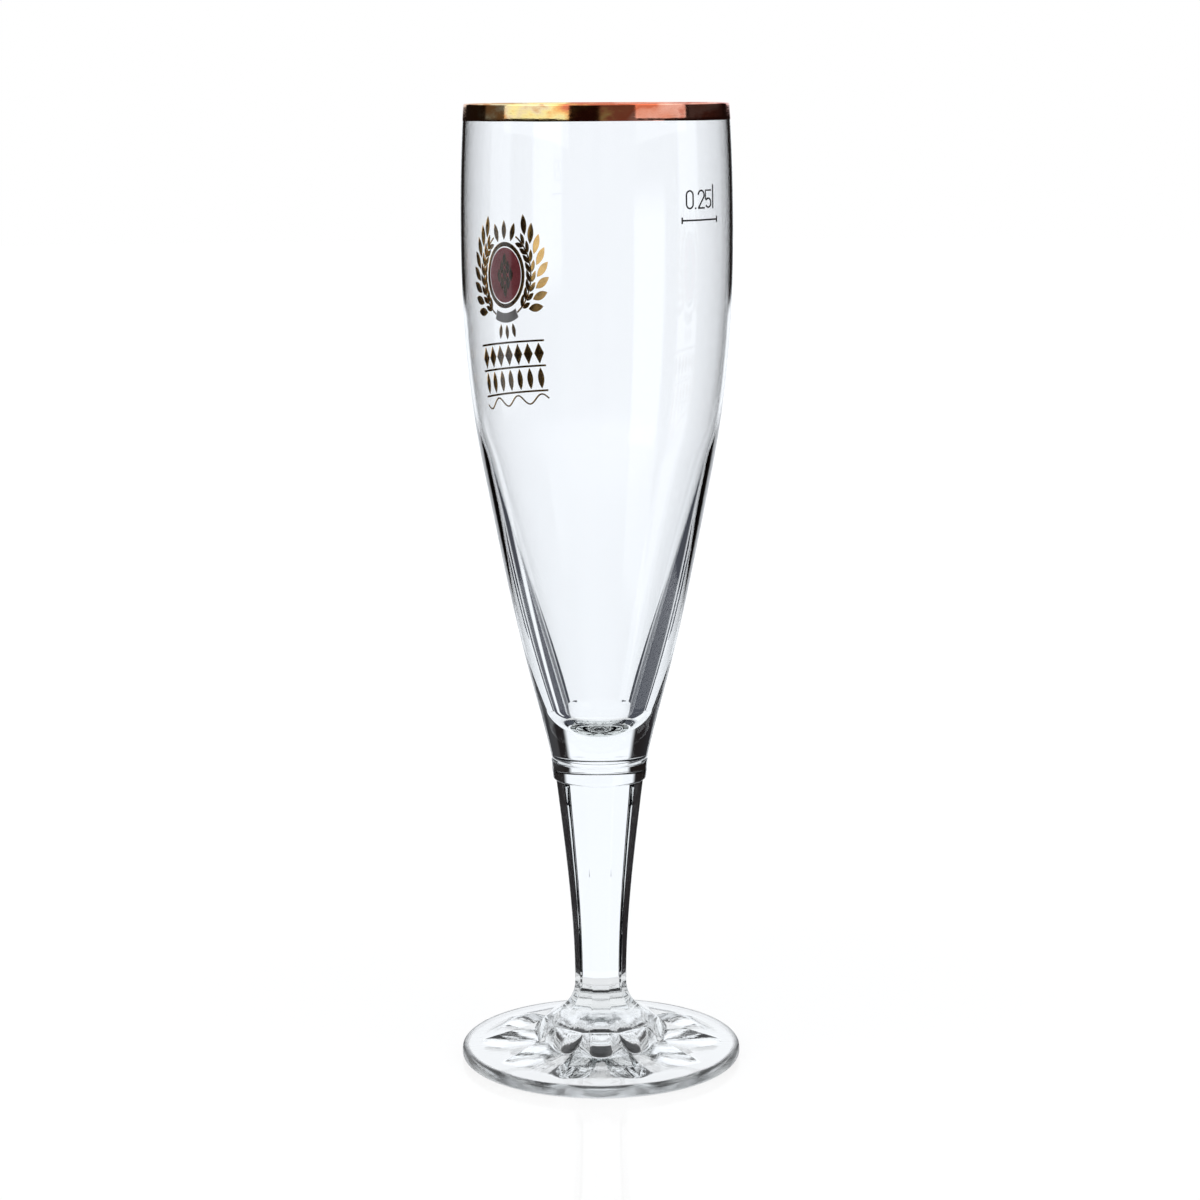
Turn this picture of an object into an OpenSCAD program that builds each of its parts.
// Pilsner glass: a tall footed beer glass of clear soda-lime glass, with a gold rim and fired prints.
// Foot, stem, joining button and bowl stand on each other, and every print lies on the bowl.
// All sizes are in millimetres. The glass stands on z = 0, and its axis is the z axis.

/* [Foot] */
// Diameter of the foot
foot_d = 70.8; // [66:0.2:76]
// Thickness of the foot at its edge
foot_edge_t = 3.2; // [2.8:0.1:4.2]
// Radius of the two rounded corners of the foot's edge
foot_edge_r = 1.2; // [0.6:0.1:1.35]
// Slope of the disc's top face, in degrees
foot_slope = 3; // [1:0.1:4]
// Diameter of the circle on which the ten ridges run out
ridge_end_d = 62; // [56:0.5:64]
// Slope of the ridges, in degrees
ridge_slope = 17.5; // [15:0.1:19]
// Diameter of the circle on which the notches between the ridges lie
ridge_notch_d = 31; // [26:0.5:36]
// Distance between opposite corners of the brow, where the boss drops to the disc
brow_d = 28.4; // [27:0.1:30]
// Height of the brow above the table
brow_h = 9.8; // [9.2:0.1:10.6]
// Slope of the boss above the brow, in degrees
brow_angle = 22; // [16:0.5:30]
// Slope of the boss's steep wall below the brow, in degrees
boss_angle = 62; // [54:0.5:66]
// Height of the foot, up to where the stem stands
foot_h = 13.16; // [12.6:0.02:14]
// Width of the flat ring that the glass stands on
foot_ring_w = 3.6; // [2:0.1:5]
// Depth of the shallow hollow inside that ring
foot_hollow_t = 0.5; // [0.2:0.05:0.8]
// Distance between opposite corners of the dimple under the foot
dimple_d = 23.6; // [16:0.2:24]
// Height of the dimple above the hollow
dimple_h = 8.4; // [3:0.1:8.8]

/* [Stem] */
// Number of flat facets round the stem
facets = 10; // [8:2:12]
// Length of the stem, from the foot to the button
stem_len = 59.33; // [54:0.01:66]
// Distance between opposite corners at the narrowest place
stem_waist_d = 13.06; // [12:0.02:14]
// Radius of the flare below the narrowest place
flare_r = 8.4; // [7.8:0.1:8.8]
// Slope at which the flare meets the foot, in degrees
flare_end_angle = 43; // [38:0.5:46]
// Distance between opposite corners at the top of the stem
stem_top_d = 22.1; // [21:0.1:22.4]
// Angle at which the stem widens towards its top, in degrees
stem_top_angle = 6.8; // [4:0.1:8]

/* [Button between stem and bowl] */
// Thickness of the button
button_t = 5; // [4:0.1:6]
// Diameter of the button at its top, where it is widest
button_d = 24.2; // [24.1:0.1:26]
// Diameter of the button at its lower end
button_base_d = 23.5; // [23.4:0.1:24]
// Radius of the button's rounded lower corner
button_low_round = 0.5; // [0.3:0.05:0.5]
// Radius of the button's rounded upper corner
button_high_round = 0.3; // [0.15:0.05:0.4]

/* [Bowl] */
// Height of the bowl, from the button to the lip
bowl_len = 162.4; // [156:0.2:170]
// Outer diameter at the lip
mouth_d = 64.3; // [62:0.1:66]
// Outer diameter where the bowl is widest
belly_d = 66.5; // [66:0.1:68]
// Height of the widest place above the button
belly_rise = 128.4; // [122:0.2:134]
// Outer diameter at the shoulder, where the taper begins
shoulder_d = 56.1; // [55:0.1:57.5]
// Height of the shoulder above the button
shoulder_rise = 72.4; // [70:0.2:76]
// Angle of the wall at the shoulder, in degrees
shoulder_angle = 11; // [9:0.1:12]
// Outer diameter at the lower end of the taper
taper_end_d = 33; // [32:0.1:34]
// Height of the taper's lower end above the button
taper_end_rise = 18.4; // [17:0.2:20]
// Angle of the wall at the taper's lower end, in degrees
taper_end_angle = 14.8; // [13:0.1:16]
// Outer diameter at the bottom of the bowl
neck_d = 23.9; // [23.7:0.1:24.4]
// Angle of the wall at the bottom of the bowl, in degrees
neck_angle = 11.3; // [9:0.1:14]
// Inward lean of the wall at the lip, in degrees
lip_angle = 4.3; // [2:0.1:6]
// Wall thickness at the lip and in the upper bowl
wall_t = 0.75; // [0.6:0.05:1.1]
// Thickness of solid glass under the hollow
base_t = 7.4; // [6:0.1:9]
// Radius of the hollow's rounded end
hollow_end_r = 9.4; // [8.6:0.1:9.8]
// Angle of the hollow's tapering wall to the axis, in degrees
hollow_angle = 16.5; // [16:0.1:17]
// Radius left where the tapering wall bends into the even wall
hollow_bend = 0.8; // [0.4:0.1:1.2]

/* [Gold rim] */
// Height of the gold band on the outside
gold_band_h = 4.1; // [3:0.1:8]
// Depth of the gold band on the inside
gold_inside_h = 1.4; // [1:0.1:3]
// Thickness of the gold as modelled
gold_t = 0.1; // [0.08:0.01:0.15]

/* [Emblem] */
// Thickness of the fired print as modelled
print_t = 0.1; // [0.08:0.01:0.15]
// Direction of the emblem seen from above, in degrees from +X
emblem_azimuth = 136; // [120:1:150]
// Height of the medallion's centre above the button
medallion_rise = 119.6; // [117:0.1:121]
// Diameter of the red medallion
medallion_d = 12.4; // [11:0.1:12.8]
// Width of the ring round the medallion
medallion_ring_w = 1; // [0.6:0.05:1.1]
// Gap between two print colours
print_gap = 0.25; // [0.2:0.05:0.3]
// Length of one hop scale in the medallion
scale_len = 3.5; // [3:0.1:3.8]
// Width of one hop scale in the medallion
scale_w = 1.6; // [1.2:0.1:1.7]
// Distance between two hop scales side by side
scale_pitch = 2.35; // [2.3:0.05:2.6]
// Number of barley grains along each side of an ear
grains = 8; // [6:1:9]
// Length of one barley grain
grain_len = 2.9; // [2.5:0.1:3]
// Width of one barley grain
grain_w = 1.15; // [0.9:0.05:1.2]
// Radius of the arc on which the ears lie
ear_r = 9.6; // [9.4:0.1:9.8]
// Width of a printed stalk
stalk_w = 0.4; // [0.3:0.02:0.5]
// Length of one leaf outside the ears
leaf_len = 4.8; // [3.6:0.1:5]
// Width of one leaf outside the ears
leaf_w = 1.9; // [1:0.05:1.9]
// Size of the leaves over the wreath, as a share of the leaves beside the ears
fan_share = 0.9; // [0.6:0.02:1]
// Size of the leaves under the ribbon, as a share of the leaves beside the ears
pendant_share = 0.68; // [0.4:0.02:0.72]
// Width of the grey ribbon under the medallion
ribbon_w = 2.2; // [1.4:0.1:2.6]
// Width of a printed border line
hair_w = 0.5; // [0.3:0.05:0.7]
// Width of the ornament block under the emblem
border_w = 22.4; // [20:0.2:24]
// Height of one lozenge or pointed oval in the ornament block
lozenge_h = 5.4; // [4:0.1:5.8]
// Width of one pointed oval in the ornament block
oval_w = 1.7; // [1:0.1:2.2]
// Number of lozenges side by side in the ornament block
lozenges = 7; // [5:2:9]
// Distance from the medallion's centre down to the ornament block
border_drop = 17; // [16.6:0.1:18]
// Width of the vine line under the block
vine_w = 0.4; // [0.3:0.05:0.5]
// Height of one bend of the vine line
vine_h = 1.2; // [0.8:0.1:1.5]
// Width of the wreath and medallion, as a share of their drawn width
narrow_share = 0.88; // [0.8:0.01:1]
// Height of the wreath and medallion, as a share of their drawn height
tall_wreath_share = 1.12; // [1:0.01:1.16]

/* [Fill mark] */
// Direction of the fill mark seen from above, in degrees from +X
mark_azimuth = 318; // [300:1:340]
// Height of the fill line above the button, where the glass holds a quarter of a litre
mark_rise = 135.2; // [132:0.1:138]
// Length of the fill line round the bowl
mark_len = 13; // [10:0.1:16]
// Width of the lines of the mark
mark_line_w = 0.4; // [0.34:0.02:0.5]
// Height of the short strokes at the line's ends
mark_end_h = 1.5; // [1.2:0.1:2]
// Height of the figures over the line
figure_h = 4.5; // [3.6:0.1:5]
// Distance from the line up to the foot of the figures
figure_gap = 2.6; // [1.6:0.1:3]

/* [Hidden] */
$fn = 72;
// One reach past a face for every cut
overrun = 1;
// Straight steps along a long curve, a shorter one and a small one
long_steps = 10;
mid_steps = 7;
small_steps = 4;
glass_tint = [0.86, 0.92, 0.92];

// Middle of a facet lies nearer to the axis than its corner by this share
flat_share = cos(180 / facets);

// Heights of the pieces above the table
foot_r = foot_d / 2;
foot_top_r = foot_r - foot_edge_r;
button_z = foot_h + stem_len;
bowl_z = button_z + button_t;
lip_z = bowl_z + bowl_len;

// A smooth curve between two stations of height, radius and slope
function curve(z, a, b) =
    let (h = b[0] - a[0], t = (z - a[0]) / h)
    a[1] * (1 + 2 * t) * (1 - t) * (1 - t) + b[1] * t * t * (3 - 2 * t)
    + h * a[2] * t * (1 - t) * (1 - t) - h * b[2] * t * t * (1 - t);

// Stations of the stem: waist, top and the end of the flare, where the stem stands on the foot
stem_low = [foot_h + flare_r * cos(flare_end_angle), stem_waist_d / 2, 0];
stem_high = [button_z, stem_top_d / 2, tan(stem_top_angle)];
flare_x = stem_waist_d / 2 + flare_r;
stem_foot_r = flare_x - flare_r * sin(flare_end_angle);

// Stations of the boss under the stem, as radius, height and slope
boss_high = [stem_foot_r, foot_h, -tan(flare_end_angle)];
brow = [brow_d / 2, brow_h, -tan(brow_angle)];
disc_low = foot_edge_t - foot_edge_r / 2;

// Ridges as one star that tapers upwards, from inside the disc to inside the boss
ridge_r = ridge_end_d / 2;
ridge_z = foot_edge_t + (foot_top_r - ridge_r) * tan(foot_slope);
star_low_r = ridge_r + (ridge_z - disc_low) / tan(ridge_slope);
star_high_r = brow[0] * flat_share;
star_high_z = ridge_z + (ridge_r - star_high_r) * tan(ridge_slope);
notch_share = ridge_notch_d / ridge_end_d;

// Stations of the bowl's outside, from the button to the lip
neck = [bowl_z, neck_d / 2, tan(neck_angle)];
taper_end = [bowl_z + taper_end_rise, taper_end_d / 2, tan(taper_end_angle)];
shoulder = [bowl_z + shoulder_rise, shoulder_d / 2, tan(shoulder_angle)];
belly = [bowl_z + belly_rise, belly_d / 2, 0];
mouth = [lip_z, mouth_d / 2, -tan(lip_angle)];

function outer_r(z) =
    z < taper_end[0] ? curve(z, neck, taper_end)
    : z < shoulder[0] ? curve(z, taper_end, shoulder)
    : z < belly[0] ? curve(z, shoulder, belly)
    : curve(z, belly, mouth);

// The hollow is a cone with a ball at its end, bent smoothly into the even wall above
ball_z = bowl_z + base_t + hollow_end_r;
cone_z = ball_z - hollow_end_r * sin(hollow_angle);
cone_r = hollow_end_r * cos(hollow_angle);
function taper_r(z) = cone_r + (z - cone_z) * tan(hollow_angle);
function bend(a, b) = (a + b - sqrt((a - b) * (a - b) + hollow_bend * hollow_bend)) / 2;
function inner_r(z) = bend(outer_r(z) - wall_t, taper_r(z));

// Heights from a to b in even steps
function levels(a, b, n) = [for (i = [0:n]) a + (b - a) * i / n];
function levels_after(a, b, n) = [for (i = [1:n]) a + (b - a) * i / n];
lip_r = wall_t / 2;
hollow_top = lip_z - lip_r;
hollow_levels = concat(
    levels(cone_z, shoulder[0], small_steps),
    levels(shoulder[0] + hollow_end_r / 2, belly[0], long_steps),
    levels(belly[0] + hollow_end_r, hollow_top, small_steps));
outer_levels = concat(
    levels(bowl_z, taper_end[0], small_steps),
    levels_after(taper_end[0], shoulder[0], mid_steps),
    levels_after(shoulder[0], belly[0], long_steps),
    levels_after(belly[0], hollow_top, mid_steps));

// Radii of the bowl's outline as built, so that gold and prints lie on it everywhere
outer_table = [for (z = outer_levels) [z, outer_r(z)]];
inner_table = [for (z = hollow_levels) [z, inner_r(z)]];
function skin_r(z) = lookup(z, outer_table);
function hollow_r(z) = lookup(z, inner_table);
function cut_levels(all, low, top) = concat([low], [for (z = all) if (z > low && z < top) z], [top]);
function turned(list) = [for (i = [len(list) - 1:-1:0]) list[i]];

// Round disc of the foot with its rounded edge
module foot_disc() {
    disc_z = foot_edge_t + (foot_top_r - stem_foot_r) * tan(foot_slope);
    rotate_extrude()
        polygon(concat(
            [[0, 0]],
            [for (i = [0:small_steps])
                let (a = -90 + 90 * i / small_steps)
                [foot_top_r + foot_edge_r * cos(a), foot_edge_r + foot_edge_r * sin(a)]],
            [for (i = [0:small_steps])
                let (a = 90 * i / small_steps)
                [foot_top_r + foot_edge_r * cos(a), foot_edge_t - foot_edge_r + foot_edge_r * sin(a)]],
            [[stem_foot_r, disc_z], [0, disc_z]]));
}

// Faceted boss with its brow, on which the stem stands
module boss() {
    rotate_extrude($fn = facets)
        polygon(concat(
            [[0, disc_low], [brow[0] + (brow[1] - disc_low) / tan(boss_angle), disc_low]],
            [for (r = levels(brow[0], boss_high[0], mid_steps)) [r, curve(r, boss_high, brow)]],
            [[0, foot_h]]));
}

// Ridges that run out over the disc from the corners of the boss
module ridges() {
    corner = 360 / facets;
    translate([0, 0, disc_low])
        linear_extrude(height = star_high_z - disc_low, scale = star_high_r / star_low_r)
        polygon([for (i = [0:facets - 1], end = [0, 1])
            let (a = corner * (i + end / 2), r = star_low_r * (end == 0 ? 1 : notch_share))
            [r * cos(a), r * sin(a)]]);
}

// Faceted dimple under the foot
module dimple() {
    rotate_extrude($fn = facets)
        polygon(concat(
            [[0, -overrun], [dimple_d / 2, -overrun]],
            [for (i = [0:mid_steps])
                let (a = 90 * i / mid_steps)
                [dimple_d / 2 * cos(a), foot_hollow_t + dimple_h * sin(a)]]));
}

module foot() {
    hollow_r = foot_top_r - foot_ring_w;
    color(glass_tint)
    difference() {
        union() {
            foot_disc();
            boss();
            ridges();
        }
        translate([0, 0, -overrun])
            cylinder(h = overrun, r = hollow_r);
        cylinder(h = foot_hollow_t, r1 = hollow_r, r2 = hollow_r - foot_ring_w / 2);
        dimple();
    }
}

// Faceted stem with its flare
module stem() {
    color(glass_tint)
    rotate_extrude($fn = facets)
        polygon(concat(
            [[0, foot_h]],
            [for (i = [0:mid_steps])
                let (a = (90 - flare_end_angle) * (1 - i / mid_steps))
                [flare_x - flare_r * cos(a), stem_low[0] - flare_r * sin(a)]],
            [for (i = [1:long_steps])
                let (z = stem_low[0] + (button_z - stem_low[0]) * i / long_steps)
                [curve(z, stem_low, stem_high), z]],
            [[0, button_z]]));
}

// Round button between stem and bowl
module button() {
    low = button_low_round;
    high = button_high_round;
    color(glass_tint)
    rotate_extrude()
        polygon(concat(
            [[0, button_z]],
            [for (i = [0:small_steps])
                let (a = 90 * i / small_steps)
                [button_base_d / 2 - low + low * sin(a), button_z + low - low * cos(a)]],
            [for (i = [0:small_steps])
                let (a = 90 * i / small_steps)
                [button_d / 2 - high + high * cos(a), bowl_z - high + high * sin(a)]],
            [[0, bowl_z]]));
}

module bowl() {
    color(glass_tint)
    rotate_extrude()
        polygon(concat(
            [[0, bowl_z]],
            [for (z = outer_levels) [outer_r(z), z]],
            [for (i = [1:small_steps - 1])
                let (a = 180 * i / small_steps)
                [outer_r(hollow_top) - lip_r + lip_r * cos(a), hollow_top + lip_r * sin(a)]],
            [for (z = turned(hollow_levels)) [inner_r(z), z]],
            [for (i = [1:mid_steps])
                let (a = hollow_angle + (90 - hollow_angle) * i / mid_steps)
                [hollow_end_r * cos(a), ball_z - hollow_end_r * sin(a)]]));
}

// Gold skin over the lip, outside and inside
module gold_rim() {
    band = cut_levels(outer_levels, lip_z - gold_band_h, hollow_top);
    inside = cut_levels(hollow_levels, lip_z - gold_inside_h, hollow_top);
    color([0.83, 0.62, 0.25])
    rotate_extrude()
        polygon(concat(
            [for (z = band) [skin_r(z) + gold_t, z]],
            [for (i = [1:small_steps - 1])
                let (a = 180 * i / small_steps)
                [outer_r(hollow_top) - lip_r + (lip_r + gold_t) * cos(a),
                 hollow_top + (lip_r + gold_t) * sin(a)]],
            [for (z = turned(inside)) [hollow_r(z) - gold_t, z]],
            [for (z = inside) [hollow_r(z), z]],
            [for (i = [small_steps - 1:-1:1])
                let (a = 180 * i / small_steps)
                [outer_r(hollow_top) - lip_r + lip_r * cos(a), hollow_top + lip_r * sin(a)]],
            [for (z = turned(band)) [skin_r(z), z]]));
}

// Thin layer on the bowl's outside, cut to the shape of a flat pattern
module printed(azimuth, rise, high) {
    low = bowl_z + rise - high / 2;
    skin = cut_levels(outer_levels, low, low + high);
    intersection() {
        rotate_extrude()
            polygon(concat(
                [for (z = skin) [skin_r(z), z]],
                [for (z = turned(skin)) [skin_r(z) + print_t, z]]));
        rotate([0, 0, azimuth + 90])
            translate([0, 0, bowl_z + rise])
            rotate([90, 0, 0])
            linear_extrude(height = belly_d)
            children();
    }
}

// Pointed leaf lying along the x axis
module leaf(l, w) {
    r = (l * l + w * w) / (4 * w);
    intersection() {
        translate([0, r - w / 2])
            circle(r = r);
        translate([0, w / 2 - r])
            circle(r = r);
    }
}

// Places along an ear of barley, which rises on an arc beside the medallion
ear_from = -56;
ear_to = 62;
ear_step = (ear_to - ear_from) / grains;
grain_lean = 24;
leaf_lean = 42;
module along_ear(place_share) {
    rotate([0, 0, ear_from + (ear_to - ear_from) * place_share])
        translate([ear_r, 0])
        rotate([0, 0, 90])
        children();
}

module both_sides() {
    children();
    mirror([1, 0])
        children();
}

module ear_grains() {
    for (i = [1:grains], side = [-1, 1])
        along_ear(i / (grains + 1))
            translate([0, side * (grain_w + stalk_w + print_gap) / 2])
            rotate([0, 0, side * grain_lean])
            leaf(grain_len, grain_w);
}

// Long leaves that stand outwards from the ear, one beside each pair of grains
module ear_leaves() {
    for (i = [1:grains])
        along_ear(i / (grains + 1))
            translate([0, -grain_w - stalk_w - print_gap * 2])
            rotate([0, 0, -leaf_lean])
            translate([leaf_len / 2, 0])
            leaf(leaf_len, leaf_w);
}

// Leaves that point away from the medallion, from a given distance on
fan_angles = [71, 90, 109];
pendant_angles = [-102, -90, -78];
module ray_leaves(angles, start, size_share) {
    for (a = angles)
        rotate([0, 0, a])
            translate([start + leaf_len * size_share / 2, 0])
            leaf(leaf_len * size_share, leaf_w * size_share);
}

module ear_stalk() {
    intersection() {
        difference() {
            circle(r = ear_r + stalk_w / 2);
            circle(r = ear_r - stalk_w / 2);
        }
        rotate([0, 0, ear_from - ear_step / 2])
            square([ear_r * 2, ear_r * 2]);
        rotate([0, 0, ear_to - 90])
            square([ear_r * 2, ear_r * 2]);
    }
}

// Hop cone: rows of scales that hang over each other
scale_rows = [1, 2, 3, 2, 1];
scale_pitch_share = 0.5;
scale_shown_share = 0.9;
module hop_scales() {
    for (row = [0:len(scale_rows) - 1])
        for (k = [0:scale_rows[row] - 1])
            translate([(k - (scale_rows[row] - 1) / 2) * scale_pitch,
                       ((len(scale_rows) - 1) / 2 - row) * scale_len * scale_pitch_share])
            rotate([0, 0, 90])
            leaf(scale_len * scale_shown_share, scale_w);
}

module medallion_ring() {
    r = medallion_d / 2 + print_gap;
    difference() {
        circle(r = r + medallion_ring_w);
        circle(r = r);
    }
}

// Plain ribbon on an arc under the medallion, with a notch at each end
ribbon_half = 26;
notch_angle = 5;
module ribbon() {
    low = ear_r - ribbon_w / 2;
    polygon(concat(
        [for (i = [-mid_steps:mid_steps])
            let (a = -90 + ribbon_half * i / mid_steps)
            [(low + ribbon_w) * cos(a), (low + ribbon_w) * sin(a)]],
        [[ear_r * cos(ribbon_half - notch_angle - 90), ear_r * sin(ribbon_half - notch_angle - 90)]],
        [for (i = [-mid_steps:mid_steps])
            let (a = -90 - ribbon_half * i / mid_steps)
            [low * cos(a), low * sin(a)]],
        [[ear_r * cos(notch_angle - ribbon_half - 90), ear_r * sin(notch_angle - ribbon_half - 90)]]));
}

// Ornament block: a row of lozenges and a row of pointed ovals between three lines
block_pitch = border_w / lozenges;
row_pitch = lozenge_h + hair_w + print_gap * 2;
module block_row(row) {
    for (i = [0:lozenges - 1])
        translate([(i - (lozenges - 1) / 2) * block_pitch, -border_drop - row_pitch * (row + 1 / 2)])
        children();
}

module block_lines() {
    for (row = [0:2])
        translate([-border_w / 2, -border_drop - row_pitch * row - hair_w / 2])
            square([border_w, hair_w]);
}

// Vine line: a wave under the block
vine_bends = 3;
vine_steps = 36;
vine_y = -border_drop - row_pitch * 2 - hair_w / 2 - print_gap - vine_h - vine_w;
function vine_x(i) = border_w * (i / vine_steps - 1 / 2);
function wave_y(i) = vine_y + vine_h * sin(360 * vine_bends * i / vine_steps);
module vine() {
    polygon(concat(
        [for (i = [0:vine_steps]) [vine_x(i), wave_y(i) - vine_w / 2]],
        [for (i = [vine_steps:-1:0]) [vine_x(i), wave_y(i) + vine_w / 2]]));
}

// Height of the whole emblem, and its middle below the medallion's centre
emblem_top = (ear_r + leaf_len) * tall_wreath_share;
emblem_low = vine_y - vine_h - vine_w;
emblem_h = emblem_top - emblem_low;
emblem_mid = (emblem_top + emblem_low) / 2;

module wreath_shape() {
    scale([narrow_share, tall_wreath_share])
        children();
}

module emblem() {
    printed(emblem_azimuth, medallion_rise + emblem_mid, emblem_h)
        translate([0, -emblem_mid])
        children();
}

module emblem_gold() {
    color([0.80, 0.62, 0.28])
    emblem()
    union() {
        wreath_shape() {
            medallion_ring();
            hop_scales();
            ray_leaves(fan_angles, medallion_d / 2 + medallion_ring_w + print_gap * 3, fan_share);
            ray_leaves(pendant_angles, ear_r + ribbon_w / 2 + print_gap * 2, pendant_share);
            both_sides() {
                ear_grains();
                ear_leaves();
                ear_stalk();
            }
        }
        vine();
        block_lines();
        block_row(0)
            scale([(block_pitch - print_gap * 2) / lozenge_h, 1])
            circle(d = lozenge_h, $fn = 4);
        block_row(1)
            rotate([0, 0, 90])
            leaf(lozenge_h, oval_w);
    }
}

module emblem_red() {
    color([0.60, 0.27, 0.30])
    emblem()
    wreath_shape()
    difference() {
        circle(d = medallion_d);
        offset(delta = print_gap)
            hop_scales();
    }
}

module emblem_grey() {
    color([0.62, 0.62, 0.64])
    emblem()
    wreath_shape()
    ribbon();
}

// Places of the four figures and the unit over the line, as shares of its length
figure_place_shares = [-0.3, -0.155, 0, 0.205, 0.352];
// Width of a figure as a share of its height, and height of the tall stroke of the unit
figure_w_share = 0.56;
tall_share = 1.25;
round_r = figure_h * figure_w_share / 2;
// Where the diagonal of the two leaves its curve, and where the five's corner stands
two_share = 1.5;
five_share = 1.85;

// Straight stroke between two points
module stroke(from, to) {
    run = to - from;
    translate(from)
        rotate([0, 0, atan2(run[1], run[0])])
        translate([0, -mark_line_w / 2])
        square([norm(run), mark_line_w]);
}

// Ring through the middle of a round stroke, cut to what lies in the wedge from one angle to another
module round_stroke(from, to) {
    far = round_r * 2;
    intersection() {
        difference() {
            circle(r = round_r);
            circle(r = round_r - mark_line_w);
        }
        polygon(concat([[0, 0]], [for (i = [0:small_steps])
            let (a = from + (to - from) * i / small_steps) [far * cos(a), far * sin(a)]]));
    }
}

module figure_zero() {
    for (end = [0, 1])
        translate([0, end == 0 ? round_r : figure_h - round_r])
            rotate([0, 0, 180 * end])
            round_stroke(180, 360);
    for (side = [-1, 1])
        translate([side * (round_r - mark_line_w / 2), 0])
            stroke([0, round_r], [0, figure_h - round_r]);
}

module figure_two() {
    foot_y = mark_line_w / 2;
    translate([0, figure_h - round_r])
        round_stroke(-30, 180);
    stroke([(round_r - mark_line_w / 2) * cos(30), figure_h - round_r * two_share + mark_line_w / 4],
           [-round_r + mark_line_w / 2, foot_y]);
    stroke([-round_r, foot_y], [round_r, foot_y]);
}

module figure_five() {
    left_x = -round_r + mark_line_w / 2;
    top_y = figure_h - mark_line_w / 2;
    translate([0, round_r])
        round_stroke(-160, 110);
    stroke([left_x, round_r * five_share], [left_x, figure_h]);
    stroke([-round_r, top_y], [round_r, top_y]);
    stroke([left_x, round_r * five_share], [0, round_r * 2 - mark_line_w / 2]);
}

module figures() {
    places = figure_place_shares * mark_len;
    translate([places[0], 0])
        figure_zero();
    translate([places[1] - mark_line_w / 2, 0])
        square([mark_line_w, mark_line_w]);
    translate([places[2], 0])
        figure_two();
    translate([places[3], 0])
        figure_five();
    translate([places[4], 0])
        stroke([0, 0], [0, figure_h * tall_share]);
}

module fill_mark() {
    color([0.35, 0.30, 0.28])
    printed(mark_azimuth, mark_rise, (figure_gap + figure_h * tall_share) * 2 + mark_line_w)
    union() {
        translate([-mark_len / 2, -mark_line_w / 2])
            square([mark_len, mark_line_w]);
        for (side = [-1, 1])
            translate([side * (mark_len - mark_line_w) / 2 - mark_line_w / 2, -mark_end_h / 2])
                square([mark_line_w, mark_end_h]);
        translate([0, figure_gap])
            figures();
    }
}

foot();
stem();
button();
bowl();
gold_rim();
emblem_gold();
emblem_red();
emblem_grey();
fill_mark();
